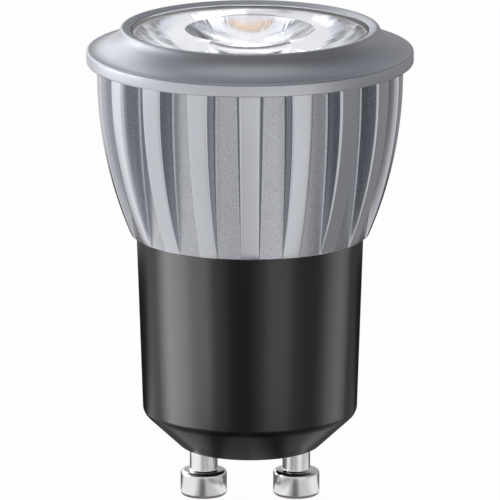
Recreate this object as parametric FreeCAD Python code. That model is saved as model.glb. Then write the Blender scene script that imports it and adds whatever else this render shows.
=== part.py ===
import FreeCAD, Part
import math
import os

from FreeCAD import Rotation, Vector

os.makedirs("parts", exist_ok=True)

UP = Vector(0, 0, 1)
MITRED = 1              # corner style of a swept wire

# Fits, in millimetres
SLIP = 0.05             # gap between pieces that slide one into another
HOLE_PLAY = 0.15        # extra radius of a hole that a screw or wire passes freely

# Contact pins of the twist-lock base, standing on the plane z = 0
PIN_PITCH = 10.0
PIN_LENGTH = 5.7        # pin end to the underside of the base
PIN_HEAD_R = 2.5
PIN_HEAD_H = 2.8
PIN_HEAD_BEVEL = 0.3
PIN_NECK_R = 1.5
PIN_SHANK_R = 1.1       # the part that passes through the base floor
PIN_RIVET_R = 1.9       # head turned over inside the base
PIN_RIVET_H = 0.8
PIN_SOCKET_DEPTH = 2.0  # blind hole that the lead is crimped into

# Moulded base
BASE_H = 23.35          # underside to the shoulder that carries the heat sink
BASE_PIN_MARGIN = 2.5   # pin centre out to the edge of the underside
BASE_CONE_H = 3.8
BASE_CREASE_ROUND = 1.2
BASE_FOOT_BEVEL = 0.2
BASE_DRAFT = 0.65       # how much the upright wall widens towards the top
BASE_SHOULDER_W = 0.48
BASE_WALL = 1.3
BASE_FLOOR = 1.8
SPIGOT_R = 11.7
SPIGOT_WALL = 1.0
SPIGOT_GAP = 0.3        # spigot end to the underside of the LED seat
SNAP_RISE = 0.35
SNAP_H = 1.2
SNAP_DROP = 1.9         # spigot end down to the top of the snap lugs
SNAP_COUNT = 4
SNAP_ANGLE = 40.0
CAP_T = 1.0
CAP_LEDGE = 0.4         # width of the step in the spigot that the cap lies on

# Heat sink
SINK_H = 18.77          # base shoulder to the shoulder under the front ring
SINK_FOOT_WALL = 1.0
SINK_CREST = 0.82       # the bell is upright this far below its shoulder
SINK_EDGE_BREAK = 0.2
SEAT_H = 8.95           # base shoulder to the top of the LED seat
SEAT_T = 3.0
COLLAR_R = 13.35        # collar that the ring slips over and the lens rests on
COLLAR_H = 1.58
COLLAR_WALL = 1.05
CUP_DRAFT = 0.3         # how much the cup widens from its floor to its mouth
SHOULDER_W = 3.1        # collar out to the fin tips
FIN_COUNT = 18
FIN_TIP_TOP = 2.4       # widths of a fin across its tip and across its root
FIN_TIP_BOTTOM = 1.9
FIN_ROOT_TOP = 2.76
FIN_ROOT_BOTTOM = 2.0
FIN_EDGE = 0.35
FIN_ROOT_BEVEL = 0.3
FIN_LEVELS = 3
FLUTE_DEPTH = 2.13
FLUTE_SWELL = 2.5       # how fast the flutes deepen above the lower edge
FLUTE_RUNOUT = 0.08     # what is left of the depth at the lower edge

# Lens
LENS_FLANGE_T = 1.2
LENS_STEP = 0.8         # flange up to the front face
LENS_GAP = 0.1          # round the front face, inside the ring's lip
LENS_LIFT = 0.1         # lens foot above the LED board
LENS_FOOT_WALL = 0.75   # between the pocket and the reflecting wall
LENS_WALL_BOW = 0.75    # how far the reflecting wall swells past a straight cone
LENS_POCKET_PLAY = 0.3  # round the LED's dam
LENS_POCKET_H = 4.6
LENS_DOME_H = 1.3
LENS_DISH_R = 6.95
LENS_DISH_DEPTH = 2.2

# Front ring
RING_OVERHANG = 1.05    # past the fin tips
RING_BAND_H = 1.42
RING_BAND_EDGE = 0.25
RING_LEDGE = 0.3        # flat on the band between its edge and the cove
RIM_OUT = 0.6           # collar out to the head of the cove
RIM_H = 0.35            # head of the cove up to the top of the rim
RIM_PROUD = 0.25        # rim above the lens face
RIM_BEVEL = 0.15
RIM_LAND = 0.3          # flat top of the rim, with its bevel
LIP_W = 0.6             # how far the lip reaches in over the lens flange
LIP_DROP = 0.25         # inner edge of the lip below the top of the rim

# LED on its board
PAD_T = 0.2
PAD_MARGIN = 0.4
LED_BOARD_GAP = 1.5     # between the board's edge and the cup wall
LED_BOARD_T = 1.0
LED_R = 3.5
LED_T = 0.45
DAM_W = 0.55
DAM_H = 0.6
SCREW_EDGE = 1.9        # screw centre in from the board's edge
SCREW_R = 1.0
SCREW_LENGTH = 3.6
SCREW_HEAD_R = 1.75
SCREW_HEAD_H = 1.25
SCREW_HEAD_BEVEL = 0.45
SCREW_CROSS = 2.2       # span of the cross recess
SCREW_CROSS_W = 0.5
SCREW_CROSS_DEPTH = 0.7

# Driver board, upright in the base
DRIVER_FACE_Y = -3.0    # component side
DRIVER_T = 1.0
DRIVER_LIFT = 3.1       # base floor up to the board's foot
DRIVER_TOP_GAP = 0.4    # below the cap
DRIVER_EDGE_GAP = 0.25  # between the board's edge and the base wall
GUIDE_REACH = 1.3       # how far the guides hold the board's edge
GUIDE_WALL = 0.9
GUIDE_FOOT = 0.8

# Leads
WIRE_R = 0.4
WIRE_BEND = 1.5
WIRE_TAIL = 0.4         # soldered end behind the board
PIN_LEAD_UP = 2.6       # above the driver board's foot
LED_LEAD_DOWN = 2.3     # below the driver board's top
LED_LEAD_REACH = 4.0    # bent end over the LED board

# Driver components, with heights from the driver board's foot
PART_SPACING = 0.6
COMPONENT_LEAD_R = 0.3
COMPONENT_BEND = 0.7
INPUT_CAN_R = 3.15
INPUT_CAN_L = 11.0
INPUT_CAN_SIDE = 0.9    # board's middle line to the can
INPUT_CAN_UP = 6.4
INPUT_CAN_PITCH = 2.5
OUTPUT_CAN_R = 2.5
OUTPUT_CAN_L = 7.0
CAN_BEVEL = 0.3
CAN_GROOVE = 0.35
CAN_GROOVE_AT = 1.6     # crimped groove from the lead end
DRUM_R = 2.9
DRUM_H = 8.0
DRUM_FLANGE = 1.0
DRUM_HUB_R = 1.4
DRUM_SIDE = 0.6         # board's middle line to the drum
DRUM_UP = 9.4
WINDING_INSET = 0.35
FILM_W = 4.4
FILM_D = 3.2
FILM_H = 4.2
FILM_ROUND = 0.4
FILM_UP = 0.4
FUSE_R = 1.2
FUSE_L = 5.6
FUSE_X = -2.6
FUSE_LEAD_SPAN = 7.2
FUSE_WAIST = 0.2        # the body is thinner between its end caps
FUSE_CAP_L = 1.1
PACKAGE_STANDOFF = 0.1  # moulded bodies above the board
LEG_W = 0.4
LEG_T = 0.2
LEG_REACH = 1.0
BRIDGE_W = 4.7
BRIDGE_H = 3.9
BRIDGE_T = 1.5
BRIDGE_LEGS = 2
BRIDGE_LEG_PITCH = 2.6
BRIDGE_UP = 8.0
CHIP_W = 4.9
CHIP_H = 3.9
CHIP_T = 1.4
CHIP_LEGS = 4
CHIP_LEG_PITCH = 1.27
DIODE_W = 2.6
DIODE_H = 4.2
DIODE_T = 2.1
DIODE_X = 4.9
DIODE_UP = 10.4
RESISTOR_W = 2.0
RESISTOR_H = 1.25
RESISTOR_T = 0.55
RESISTOR_X = -5.4
RESISTOR_UP = 7.8
RESISTOR_PITCH = 2.4
RESISTOR_COUNT = 4

# Heights worked out from the sizes above
base_z = PIN_LENGTH
floor_z = base_z + BASE_FLOOR
shoulder_z = base_z + BASE_H
ring_z = shoulder_z + SINK_H
seat_z = shoulder_z + SEAT_H
seat_under_z = seat_z - SEAT_T
spigot_z = seat_under_z - SPIGOT_GAP
cap_z = spigot_z - CAP_T
snap_z = spigot_z - SNAP_DROP
pad_z = seat_z + PAD_T
led_board_z = pad_z + LED_BOARD_T
collar_z = ring_z + COLLAR_H
flange_z = collar_z + LENS_FLANGE_T
lens_z = flange_z + LENS_STEP
rim_z = lens_z + RIM_PROUD
driver_z = floor_z + DRIVER_LIFT
driver_top_z = cap_z - DRIVER_TOP_GAP
pin_lead_z = driver_z + PIN_LEAD_UP
led_lead_z = driver_top_z - LED_LEAD_DOWN

# Radii worked out from the sizes above
base_foot_r = PIN_PITCH / 2 + BASE_PIN_MARGIN
base_top_r = SPIGOT_R + BASE_SHOULDER_W
base_crease_r = base_top_r - BASE_DRAFT
base_inner_r = base_crease_r - BASE_WALL
cavity_r = SPIGOT_R - SPIGOT_WALL
ledge_r = cavity_r + CAP_LEDGE
bore_r = SPIGOT_R + SLIP
sink_bottom_r = bore_r + SINK_FOOT_WALL
sink_top_r = COLLAR_R + SHOULDER_W
cup_mouth_r = COLLAR_R - COLLAR_WALL
cup_floor_r = cup_mouth_r - CUP_DRAFT
ring_r = sink_top_r + RING_OVERHANG
rim_r = COLLAR_R + RIM_OUT
lip_r = COLLAR_R - LIP_W
led_board_r = cup_floor_r - LED_BOARD_GAP
lens_pocket_r = LED_R + DAM_W + LENS_POCKET_PLAY
lens_foot_r = lens_pocket_r + LENS_FOOT_WALL

# Places in plan, and on the driver board
screw_spots = [(0, led_board_r - SCREW_EDGE), (0, SCREW_EDGE - led_board_r)]
driver_back_y = DRIVER_FACE_Y - DRIVER_T
driver_half_w = math.sqrt((base_inner_r - DRIVER_EDGE_GAP) ** 2 - driver_back_y ** 2)
guide_x = driver_half_w - GUIDE_REACH
led_lead_x = guide_x - WIRE_R - HOLE_PLAY
led_lead_y = DRIVER_FACE_Y + WIRE_BEND + HOLE_PLAY
led_lead_spots = [(led_lead_x, led_lead_y), (-led_lead_x, led_lead_y)]
bend_reach = WIRE_BEND + WIRE_R * math.tan(math.pi / 8)
input_can_x = -INPUT_CAN_SIDE - INPUT_CAN_R
input_can_z = driver_z + INPUT_CAN_UP
input_lead_z = input_can_z - COMPONENT_BEND - PACKAGE_STANDOFF
input_lead_spots = [(input_can_x + side * INPUT_CAN_PITCH / 2, input_lead_z) for side in (-1, 1)]
fuse_z = input_can_z + INPUT_CAN_L + PART_SPACING + FUSE_R
fuse_lead_spots = [(FUSE_X + side * FUSE_LEAD_SPAN / 2, fuse_z) for side in (-1, 1)]
drum_x = DRUM_SIDE + DRUM_R
drum_z = driver_z + DRUM_UP
output_can_z = drum_z + DRUM_R + PART_SPACING + OUTPUT_CAN_R
bridge_z = driver_z + BRIDGE_UP
chip_z = bridge_z + BRIDGE_H / 2 + LEG_REACH + PART_SPACING + LEG_REACH + CHIP_H / 2
film_z = driver_z + FILM_UP
diode_z = driver_z + DIODE_UP


def path_through(spots, bevels, rounds, closed):
    """Wire through the spots in order; a corner may be cut straight or rounded by a tangent arc."""
    count = len(spots)
    turns = []
    for i, spot in enumerate(spots):
        if not bevels[i] and not rounds[i]:
            turns.append((spot, None, spot))
            continue
        back = (spots[i - 1] - spot).normalize()
        ahead = (spots[(i + 1) % count] - spot).normalize()
        if bevels[i]:
            turns.append((spot + back * bevels[i], None, spot + ahead * bevels[i]))
            continue
        half = back.getAngle(ahead) / 2
        reach = rounds[i] / math.tan(half)
        inward = (back + ahead).normalize()
        middle = spot + inward * (rounds[i] / math.sin(half) - rounds[i])
        turns.append((spot + back * reach, middle, spot + ahead * reach))
    edges = []
    for i, (entry, middle, leave) in enumerate(turns):
        if middle:
            edges.append(Part.Arc(entry, middle, leave).toShape())
        elif bevels[i]:
            edges.append(Part.LineSegment(entry, leave).toShape())
        if i + 1 == count and not closed:
            break
        following = turns[(i + 1) % count][0]
        if leave.distanceToPoint(following) > 1e-6:
            edges.append(Part.LineSegment(leave, following).toShape())
    return Part.Wire(edges)


def plain_face(spots):
    """Flat face with sharp corners."""
    none = [0] * len(spots)
    return Part.Face(path_through(spots, none, none, True))


def turned(*corners):
    """Solid of revolution about Z from (r, z) corners; a third number bevels, a fourth rounds one."""
    spots = [Vector(corner[0], 0, corner[1]) for corner in corners]
    bevels = [corner[2] if len(corner) > 2 else 0 for corner in corners]
    rounds = [corner[3] if len(corner) > 3 else 0 for corner in corners]
    return Part.Face(path_through(spots, bevels, rounds, True)).revolve(Vector(), UP, 360)


def block(x0, x1, y0, y1, z0, z1):
    """Box between two corners."""
    return Part.makeBox(x1 - x0, y1 - y0, z1 - z0, Vector(x0, y0, z0))


def rod(radius, x, y, z0, z1):
    """Upright cylinder."""
    return Part.makeCylinder(radius, z1 - z0, Vector(x, y, z0))


def board_hole(radius, x, z):
    """Cutter across the driver board's thickness."""
    foot = Vector(x, driver_back_y - DRIVER_T, z)
    return Part.makeCylinder(radius, 3 * DRIVER_T, foot, Vector(0, 1, 0))


def wire_along(radius, bend, *spots):
    """Round wire through the spots, each corner between its ends cut by two mitred bends."""
    straight = [0] * len(spots)
    bends = [0] + [bend] * (len(spots) - 2) + [0]
    path = path_through(list(spots), bends, straight, False)
    section = Part.Wire(Part.Circle(spots[0], spots[1] - spots[0], radius).toShape())
    return path.makePipeShell([section], True, False, MITRED)


def standing_on_board(shape, x, z):
    """Lay a shape made along +Z on the component side, pointing away from the board."""
    shape = shape.copy()
    shape.rotate(Vector(), Vector(1, 0, 0), -90)
    shape.translate(Vector(x, DRIVER_FACE_Y, z))
    return shape


def pole_arc(radius, pole_z, edge_z):
    """Profile arc of a spherical cap, from the axis out to its edge."""
    height = edge_z - pole_z
    ball = (radius ** 2 + height ** 2) / (2 * height)
    half = math.asin(radius / ball) / 2
    middle = Vector(ball * math.sin(half), 0, pole_z + ball * (1 - math.cos(half)))
    return Part.Arc(Vector(0, 0, pole_z), middle, Vector(radius, 0, edge_z)).toShape()


def front_ring():
    """Bezel: outer band, hollow cove, rounded rim and the lip that holds the lens."""
    band_z = ring_z + RING_BAND_H
    cove_w = ring_r - RING_LEDGE - rim_r
    cove_h = rim_z - RIM_H - band_z
    cove_r = (cove_w ** 2 + cove_h ** 2) / (2 * cove_h)
    cove_reach = (cove_w ** 2 + cove_h ** 2) / (2 * cove_w)
    cove_corner = ring_r - RING_LEDGE - cove_reach
    lean = (cove_corner - rim_r) / cove_h
    rim_edge = rim_r - RIM_H * lean
    ring_bore = COLLAR_R + SLIP
    lip_z = flange_z + SLIP
    return turned(
        (ring_bore, ring_z),
        (ring_r, ring_z, RING_BAND_EDGE),
        (ring_r, band_z, RING_BAND_EDGE),
        (cove_corner, band_z, 0, cove_r),
        (rim_edge, rim_z, RIM_BEVEL),
        (rim_edge - RIM_LAND, rim_z),
        (lip_r, rim_z - LIP_DROP),
        (lip_r, lip_z),
        (ring_bore, lip_z),
    )


def lens():
    """Clear collimator: dished front, trapped flange, swelling side wall, pocket over the LED."""
    foot_z = led_board_z + LENS_LIFT
    front_r = lip_r - LENS_GAP
    flange_r = COLLAR_R - SLIP
    neck_r = cup_mouth_r - HOLE_PLAY
    pocket_z = foot_z + LENS_POCKET_H
    head = Vector(neck_r, 0, collar_z)
    foot = Vector(lens_foot_r, 0, foot_z)
    across = (foot - head).normalize()
    outward = Vector(-across.z, 0, across.x)
    swell = (head + foot) * 0.5 - outward * LENS_WALL_BOW
    corners = [
        (LENS_DISH_R, lens_z),
        (front_r, lens_z),
        (front_r, flange_z),
        (flange_r, flange_z),
        (flange_r, collar_z),
        (neck_r, collar_z),
    ]
    rim = [Vector(r, 0, z) for r, z in corners]
    edges = [pole_arc(LENS_DISH_R, lens_z - LENS_DISH_DEPTH, lens_z)]
    edges += [Part.LineSegment(a, b).toShape() for a, b in zip(rim, rim[1:])]
    edges.append(Part.Arc(head, swell, foot).toShape())
    pocket_foot = Vector(lens_pocket_r, 0, foot_z)
    pocket_head = Vector(lens_pocket_r, 0, pocket_z)
    edges.append(Part.LineSegment(foot, pocket_foot).toShape())
    edges.append(Part.LineSegment(pocket_foot, pocket_head).toShape())
    edges.append(pole_arc(lens_pocket_r, pocket_z - LENS_DOME_H, pocket_z))
    pole = Vector(0, 0, pocket_z - LENS_DOME_H)
    edges.append(Part.LineSegment(pole, Vector(0, 0, lens_z - LENS_DISH_DEPTH)).toShape())
    return Part.Face(Part.Wire(edges)).revolve(Vector(), UP, 360)


def bell_radius(z):
    """Outer radius of the heat sink: one arc that stands upright at its crest."""
    width = sink_top_r - sink_bottom_r
    height = SINK_H - SINK_CREST
    bell_r = (width ** 2 + height ** 2) / (2 * width)
    above = z - (ring_z - SINK_CREST)
    return sink_top_r - bell_r + math.sqrt(bell_r ** 2 - above ** 2)


def fin_section(share):
    """Bell's cross-section at a share of its height: fins and flutes, with bevelled edges and roots."""
    z = shoulder_z + SINK_H * share
    depth = FLUTE_RUNOUT + (FLUTE_DEPTH - FLUTE_RUNOUT) * (1 - (1 - share) ** FLUTE_SWELL)
    tip_half = (FIN_TIP_BOTTOM + (FIN_TIP_TOP - FIN_TIP_BOTTOM) * share) / 2
    root_half = (FIN_ROOT_BOTTOM + (FIN_ROOT_TOP - FIN_ROOT_BOTTOM) * share) / 2
    edge = FIN_EDGE * depth / FLUTE_DEPTH
    root_bevel = FIN_ROOT_BEVEL * depth / FLUTE_DEPTH
    tip_r = bell_radius(z)
    floor_r = tip_r - depth
    crest_turn = math.asin(tip_half / tip_r)
    root_turn = math.asin(root_half / floor_r)
    crest = Vector(tip_r * math.cos(crest_turn), tip_half, 0)
    root = Vector(floor_r * math.cos(root_turn), root_half, 0)
    slope = (root - crest).normalize()
    tip_turn = crest_turn - edge / tip_r
    floor_turn = root_turn + root_bevel / floor_r
    flank = [
        Vector(tip_r * math.cos(tip_turn), tip_r * math.sin(tip_turn), 0),
        crest + slope * edge,
        root - slope * root_bevel,
        Vector(floor_r * math.cos(floor_turn), floor_r * math.sin(floor_turn), 0),
    ]
    mirrored = [Vector(spot.x, -spot.y, 0) for spot in reversed(flank)]
    pitch = 360.0 / FIN_COUNT
    half_pitch = math.radians(pitch / 2)
    valley = Vector(floor_r * math.cos(half_pitch), floor_r * math.sin(half_pitch), 0)
    next_fin = Rotation(UP, pitch).multVec(mirrored[0])
    fin = mirrored + [Vector(tip_r, 0, 0)] + flank + [valley, next_fin]
    edges = []
    for number in range(FIN_COUNT):
        turn = Rotation(UP, pitch * number - 90)
        spot = [turn.multVec(place) + UP * z for place in fin]
        lines = [Part.LineSegment(a, b).toShape() for a, b in zip(spot, spot[1:])]
        face = Part.Arc(spot[3], spot[4], spot[5]).toShape()
        floor = Part.Arc(spot[8], spot[9], spot[10]).toShape()
        edges += lines[0:3] + [face] + lines[5:8] + [floor]
    return Part.Wire(edges)


def heat_sink():
    """Fluted bell with a collar for the ring, a cup for the lens and a socket for the base."""
    levels = [step / (FIN_LEVELS - 1) for step in range(FIN_LEVELS)]
    bell = Part.makeLoft([fin_section(share) for share in levels], True, False)
    collar = rod(COLLAR_R, 0, 0, seat_under_z, collar_z)
    cup = turned((0, seat_z), (cup_floor_r, seat_z), (cup_mouth_r, collar_z), (0, collar_z))
    socket = rod(bore_r, 0, 0, shoulder_z, seat_under_z)
    groove_r = bore_r + SNAP_RISE
    groove = turned(
        (0, snap_z - SNAP_H - SLIP),
        (bore_r, snap_z - SNAP_H - SLIP),
        (groove_r, snap_z - SNAP_H + SNAP_RISE - SLIP),
        (groove_r, snap_z + SLIP),
        (0, snap_z + SLIP),
    )
    break_r = sink_bottom_r - SINK_EDGE_BREAK
    break_span = 4 * SINK_EDGE_BREAK
    edge_break = turned(
        (break_r, shoulder_z),
        (break_r + break_span, shoulder_z),
        (break_r + break_span, shoulder_z + break_span),
    )
    cutters = [cup, socket, groove, edge_break]
    cutters += [rod(SCREW_R, x, y, seat_under_z, seat_z) for x, y in screw_spots]
    cutters += [rod(WIRE_R + 2 * HOLE_PLAY, x, y, seat_under_z, seat_z) for x, y in led_lead_spots]
    return bell.fuse(collar).cut(cutters)


def led_layer(radius, z0, z1):
    """Round layer on the seat, with its screw holes and a slot for each lead to bend over in."""
    cutters = [rod(SCREW_R + HOLE_PLAY, x, y, z0, z1) for x, y in screw_spots]
    half = WIRE_R + HOLE_PLAY
    for x, y in led_lead_spots:
        cutters.append(rod(half, x, y, z0, z1))
        cutters.append(block(x - half, x + half, y, y + bend_reach + HOLE_PLAY, z0, z1))
    return rod(radius, 0, 0, z0, z1).cut(cutters)


def led_dam():
    """Silicone ring that holds the phosphor."""
    top = led_board_z + DAM_H
    crown = DAM_W / 3
    return turned(
        (LED_R, led_board_z),
        (LED_R + DAM_W, led_board_z),
        (LED_R + DAM_W, top, crown),
        (LED_R, top, crown),
    )


def led_screw(x, y):
    """Pan-head screw with a cross recess."""
    screw = turned(
        (0, led_board_z - SCREW_LENGTH),
        (SCREW_R - SLIP, led_board_z - SCREW_LENGTH),
        (SCREW_R - SLIP, led_board_z),
        (SCREW_HEAD_R, led_board_z),
        (SCREW_HEAD_R, led_board_z + SCREW_HEAD_H, SCREW_HEAD_BEVEL),
        (0, led_board_z + SCREW_HEAD_H),
    )
    arm = SCREW_CROSS / 2
    half = SCREW_CROSS_W / 2
    top = led_board_z + SCREW_HEAD_H
    recess = block(-arm, arm, -half, half, top - SCREW_CROSS_DEPTH, top)
    recess = recess.fuse(block(-half, half, -arm, arm, top - SCREW_CROSS_DEPTH, top))
    screw = screw.cut(recess)
    screw.translate(Vector(x, y, 0))
    return screw


def base_housing():
    """Hollow moulding: cone foot, drafted wall, snap spigot, board guides and pin holes."""
    crease_z = base_z + BASE_CONE_H
    cone_slope = (base_crease_r - base_foot_r) / BASE_CONE_H
    cone_wall = BASE_WALL * math.hypot(1, cone_slope)
    floor_r = base_foot_r + BASE_FLOOR * cone_slope - cone_wall
    inner_z = floor_z + (base_inner_r - floor_r) / cone_slope
    shell = turned(
        (0, base_z),
        (base_foot_r, base_z, BASE_FOOT_BEVEL),
        (base_crease_r, crease_z, 0, BASE_CREASE_ROUND),
        (base_top_r, shoulder_z),
        (SPIGOT_R, shoulder_z),
        (SPIGOT_R, spigot_z),
        (ledge_r, spigot_z),
        (ledge_r, cap_z),
        (cavity_r, cap_z),
        (base_inner_r, inner_z),
        (floor_r, floor_z),
        (0, floor_z),
    )
    lug_outline = [
        Vector(SPIGOT_R - SPIGOT_WALL / 2, 0, snap_z - SNAP_H),
        Vector(SPIGOT_R, 0, snap_z - SNAP_H),
        Vector(SPIGOT_R + SNAP_RISE, 0, snap_z - SNAP_H + SNAP_RISE),
        Vector(SPIGOT_R + SNAP_RISE, 0, snap_z),
        Vector(SPIGOT_R - SPIGOT_WALL / 2, 0, snap_z),
    ]
    lug = plain_face(lug_outline).revolve(Vector(), UP, SNAP_ANGLE)
    additions = []
    for number in range(SNAP_COUNT):
        placed = lug.copy()
        placed.rotate(Vector(), UP, number * 360.0 / SNAP_COUNT)
        additions.append(placed)
    guide_core = rod(base_inner_r + BASE_WALL / 2, 0, 0, inner_z, cap_z)
    guide_y0 = driver_back_y - SLIP - GUIDE_WALL
    guide_y1 = DRIVER_FACE_Y + SLIP + GUIDE_WALL
    guide_z0 = driver_z - GUIDE_FOOT
    for x0, x1 in ((guide_x, base_top_r), (-base_top_r, -guide_x)):
        additions.append(block(x0, x1, guide_y0, guide_y1, guide_z0, driver_top_z).common(guide_core))
    slot_x = driver_half_w + SLIP
    slot = block(-slot_x, slot_x, driver_back_y - SLIP, DRIVER_FACE_Y + SLIP, driver_z, cap_z)
    pin_holes = [rod(PIN_SHANK_R + SLIP, x, 0, base_z, floor_z) for x in (-PIN_PITCH / 2, PIN_PITCH / 2)]
    return shell.fuse(additions).cut([slot] + pin_holes)


def contact_pin(x):
    """Mushroom pin: head, neck, shank through the base floor and riveted end with a lead socket."""
    rivet_z = floor_z + PIN_RIVET_H
    socket_r = WIRE_R + SLIP
    pin = turned(
        (0, 0),
        (PIN_HEAD_R, 0, PIN_HEAD_BEVEL),
        (PIN_HEAD_R, PIN_HEAD_H, PIN_HEAD_BEVEL),
        (PIN_NECK_R, PIN_HEAD_H),
        (PIN_NECK_R, base_z),
        (PIN_SHANK_R, base_z),
        (PIN_SHANK_R, floor_z),
        (PIN_RIVET_R, floor_z),
        (PIN_SHANK_R, rivet_z),
        (socket_r, rivet_z),
        (socket_r, rivet_z - PIN_SOCKET_DEPTH),
        (0, rivet_z - PIN_SOCKET_DEPTH),
    )
    pin.translate(Vector(x, 0, 0))
    return pin


def insulator_cap():
    """Lid on the step inside the spigot, with holes for the LED leads."""
    lid = rod(ledge_r - SLIP, 0, 0, cap_z, spigot_z)
    return lid.cut([rod(WIRE_R + HOLE_PLAY, x, y, cap_z, spigot_z) for x, y in led_lead_spots])


def driver_board():
    """Upright printed board with the holes for every lead that is soldered to it."""
    half = driver_half_w
    board = block(-half, half, driver_back_y, DRIVER_FACE_Y, driver_z, driver_top_z)
    wire_spots = [(-PIN_PITCH / 2, pin_lead_z), (PIN_PITCH / 2, pin_lead_z)]
    wire_spots += [(-led_lead_x, led_lead_z), (led_lead_x, led_lead_z)]
    holes = [board_hole(WIRE_R + SLIP, x, z) for x, z in wire_spots]
    holes += [board_hole(COMPONENT_LEAD_R + SLIP, x, z) for x, z in input_lead_spots + fuse_lead_spots]
    return board.cut(holes)


def capacitor_can(radius, length):
    """Electrolytic can standing on its lead end, with the crimped groove round its foot."""
    return turned(
        (0, 0),
        (radius, 0, CAN_BEVEL),
        (radius, CAN_GROOVE_AT - CAN_GROOVE),
        (radius - CAN_GROOVE, CAN_GROOVE_AT),
        (radius, CAN_GROOVE_AT + CAN_GROOVE),
        (radius, length, CAN_BEVEL),
        (0, length),
    )


def input_capacitor():
    """Large can lying against the board, its two leads bent back through it."""
    y = DRIVER_FACE_Y + INPUT_CAN_R
    can = capacitor_can(INPUT_CAN_R, INPUT_CAN_L)
    can.translate(Vector(input_can_x, y, input_can_z))
    leads = []
    for x, z in input_lead_spots:
        leads.append(wire_along(
            COMPONENT_LEAD_R, COMPONENT_BEND,
            Vector(x, y, input_can_z + CAN_BEVEL),
            Vector(x, y, z),
            Vector(x, driver_back_y - WIRE_TAIL, z),
        ))
    return can.fuse(leads)


def output_capacitor():
    """Small can standing on the board."""
    return standing_on_board(capacitor_can(OUTPUT_CAN_R, OUTPUT_CAN_L), drum_x, output_can_z)


def inductor_core():
    """Ferrite drum standing on the board."""
    drum = turned(
        (0, 0),
        (DRUM_R, 0),
        (DRUM_R, DRUM_FLANGE),
        (DRUM_HUB_R, DRUM_FLANGE),
        (DRUM_HUB_R, DRUM_H - DRUM_FLANGE),
        (DRUM_R, DRUM_H - DRUM_FLANGE),
        (DRUM_R, DRUM_H),
        (0, DRUM_H),
    )
    return standing_on_board(drum, drum_x, drum_z)


def inductor_winding():
    """Copper coil between the drum's flanges."""
    outer = DRUM_R - WINDING_INSET
    inner = DRUM_HUB_R + SLIP
    foot = DRUM_FLANGE + SLIP
    head = DRUM_H - DRUM_FLANGE - SLIP
    coil = turned((inner, foot), (outer, foot), (outer, head), (inner, head))
    return standing_on_board(coil, drum_x, drum_z)


def film_capacitor():
    """Moulded box capacitor at the foot of the board."""
    half = FILM_W / 2
    box = block(-half, half, DRIVER_FACE_Y, DRIVER_FACE_Y + FILM_D, film_z, film_z + FILM_H)
    upright = [edge for edge in box.Edges if abs(edge.tangentAt(edge.FirstParameter).y) > 0.5]
    return box.makeFillet(FILM_ROUND, upright)


def fuse_resistor():
    """Axial resistor across the board, with end caps and bent leads."""
    half = FUSE_L / 2
    y = DRIVER_FACE_Y + FUSE_R + SLIP
    body = turned(
        (0, -half),
        (FUSE_R, -half, FUSE_WAIST),
        (FUSE_R, -half + FUSE_CAP_L),
        (FUSE_R - FUSE_WAIST, -half + FUSE_CAP_L + FUSE_WAIST),
        (FUSE_R - FUSE_WAIST, half - FUSE_CAP_L - FUSE_WAIST),
        (FUSE_R, half - FUSE_CAP_L),
        (FUSE_R, half, FUSE_WAIST),
        (0, half),
    )
    body.rotate(Vector(), Vector(0, 1, 0), 90)
    body.translate(Vector(FUSE_X, y, fuse_z))
    leads = []
    for x, z in fuse_lead_spots:
        inside = FUSE_X + math.copysign(half - FUSE_WAIST, x - FUSE_X)
        leads.append(wire_along(
            COMPONENT_LEAD_R, COMPONENT_BEND,
            Vector(inside, y, z),
            Vector(x, y, z),
            Vector(x, driver_back_y - WIRE_TAIL, z),
        ))
    return body.fuse(leads)


def chip_package(width, height, thickness, legs, leg_pitch, z):
    """Moulded package on the solder side, with a row of legs along its top and bottom edges."""
    face = driver_back_y - PACKAGE_STANDOFF
    body = block(-width / 2, width / 2, face - thickness, face, z - height / 2, z + height / 2)
    feet = []
    for number in range(legs):
        x = (number - (legs - 1) / 2) * leg_pitch
        for side in (-1, 1):
            near = z + side * (height / 2 - LEG_T)
            far = z + side * (height / 2 + LEG_REACH)
            bend = z + side * (height / 2 + LEG_REACH / 2)
            rise = face - thickness / 2
            spots = [
                Vector(x, rise, near),
                Vector(x, rise, bend),
                Vector(x, driver_back_y - LEG_T, bend),
                Vector(x, driver_back_y - LEG_T, far),
                Vector(x, driver_back_y, far),
                Vector(x, driver_back_y, bend - side * LEG_T),
                Vector(x, rise + LEG_T, bend - side * LEG_T),
                Vector(x, rise + LEG_T, near),
            ]
            strip = plain_face(spots).extrude(Vector(LEG_W, 0, 0))
            strip.translate(Vector(-LEG_W / 2, 0, 0))
            feet.append(strip)
    return body.fuse(feet)


def bridge_rectifier():
    """Four-legged rectifier."""
    return chip_package(BRIDGE_W, BRIDGE_H, BRIDGE_T, BRIDGE_LEGS, BRIDGE_LEG_PITCH, bridge_z)


def driver_chip():
    """Eight-legged control chip."""
    return chip_package(CHIP_W, CHIP_H, CHIP_T, CHIP_LEGS, CHIP_LEG_PITCH, chip_z)


def freewheel_diode():
    """Diode with its end tabs folded under the body."""
    half_w = DIODE_W / 2
    half_h = DIODE_H / 2
    face = driver_back_y - LEG_T
    body = block(DIODE_X - half_w, DIODE_X + half_w, face - DIODE_T, face, diode_z - half_h, diode_z + half_h)
    tabs = []
    for side in (-1, 1):
        z0, z1 = sorted((diode_z + side * half_h / 2, diode_z + side * (half_h + LEG_T)))
        tabs.append(block(DIODE_X - half_w / 2, DIODE_X + half_w / 2, face, driver_back_y, z0, z1))
    return body.fuse(tabs)


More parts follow.
